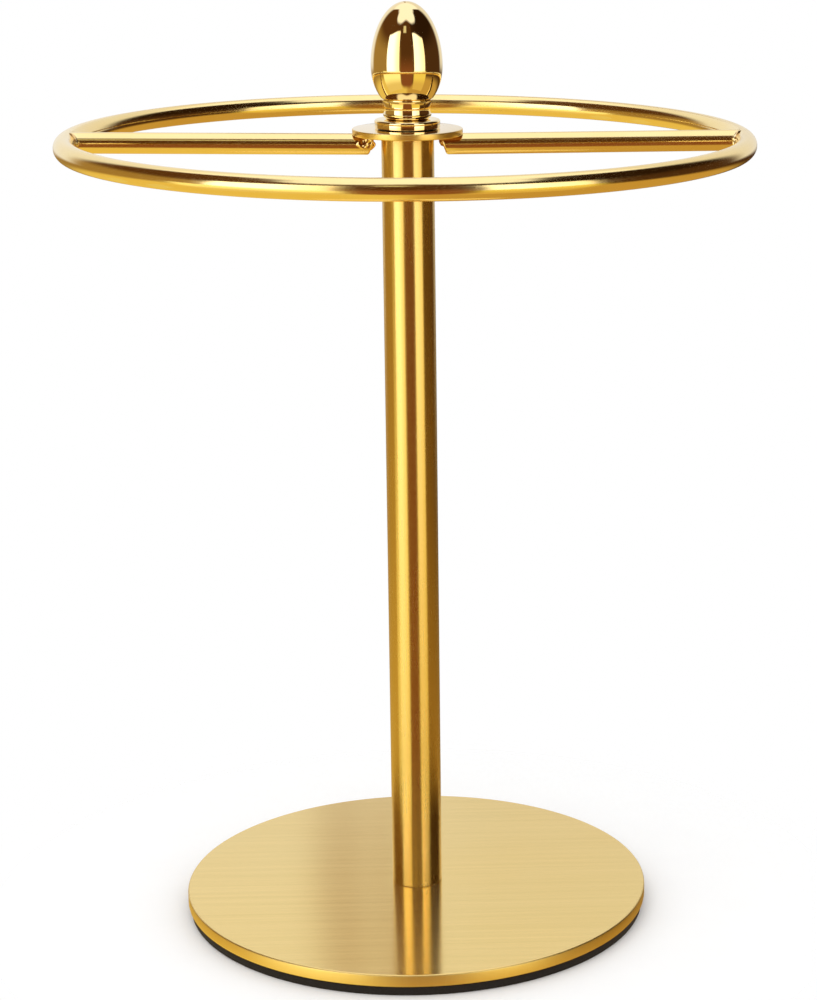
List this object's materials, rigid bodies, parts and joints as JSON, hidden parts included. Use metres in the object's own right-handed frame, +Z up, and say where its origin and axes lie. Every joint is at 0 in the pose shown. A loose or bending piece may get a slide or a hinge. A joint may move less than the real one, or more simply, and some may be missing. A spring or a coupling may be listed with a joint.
{
  "type": "rotating display rack",
  "caption": "Table-top rotating display rack: a round rod ring on two spokes turns on a post above a weighted round foot, with an egg-shaped finial on its hub.",
  "frame": {"origin": "centre of the foam pad's underside, which rests on the table", "axes": "+Z up along the post and the axis the head turns about; the two spokes lie along X at rest; -Y faces the viewer"},
  "size_m": [0.165, 0.165, 0.2258],
  "materials": {
    "polished_gold": "polished gold plating",
    "brushed_gold": "fine brushed gold plating",
    "black_foam": "fine-celled closed foam",
    "black_fibre": "matt",
    "bare_steel": "turned",
    "dark_steel": "blackened",
    "bearing_steel": "ground and polished",
    "cage_brass": "turned",
    "white_nylon": "satin"
  },
  "bodies": {
    "stand": {"base_pad": "black_foam", "base_plate": "brushed_gold", "base_screw": "dark_steel", "post_foot_plug": "bare_steel", "post_tube": "brushed_gold", "head_sleeve": "bare_steel", "guide_bush": "white_nylon", "bearing_outer_race": "bearing_steel", "bearing_shield_top": "bearing_steel", "bearing_shield_bottom": "bearing_steel"},
    "rack_head": {"display_ring": "polished_gold", "spoke_left": "polished_gold", "spoke_right": "polished_gold", "hub_plate": "polished_gold", "finial": "polished_gold", "finial_washer": "black_fibre", "spindle": "bare_steel", "bearing_inner_race": "bearing_steel", "spindle_washer": "bare_steel", "lock_nut": "bare_steel", "lock_nut_insert": "white_nylon"},
    "bearing_cage_set": {"bearing_cage": "cage_brass", "bearing_ball_1": "bearing_steel", "bearing_ball_2": "bearing_steel", "bearing_ball_3": "bearing_steel", "bearing_ball_4": "bearing_steel", "bearing_ball_5": "bearing_steel", "bearing_ball_6": "bearing_steel", "bearing_ball_7": "bearing_steel"}
  },
  "joints": [
    {"name": "head_spin", "type": "hinge", "parent": "stand", "child": "rack_head", "pos_m": [0, 0, 0.19485], "axis": [0, 0, 1], "continuous": true},
    {"name": "cage_spin", "type": "hinge", "parent": "stand", "child": "bearing_cage_set", "pos_m": [0, 0, 0.1913], "axis": [0, 0, 1], "continuous": true}
  ],
  "couplings": [
    {"joint": "cage_spin", "follows": "head_spin", "ratio": 0.3778}
  ]
}
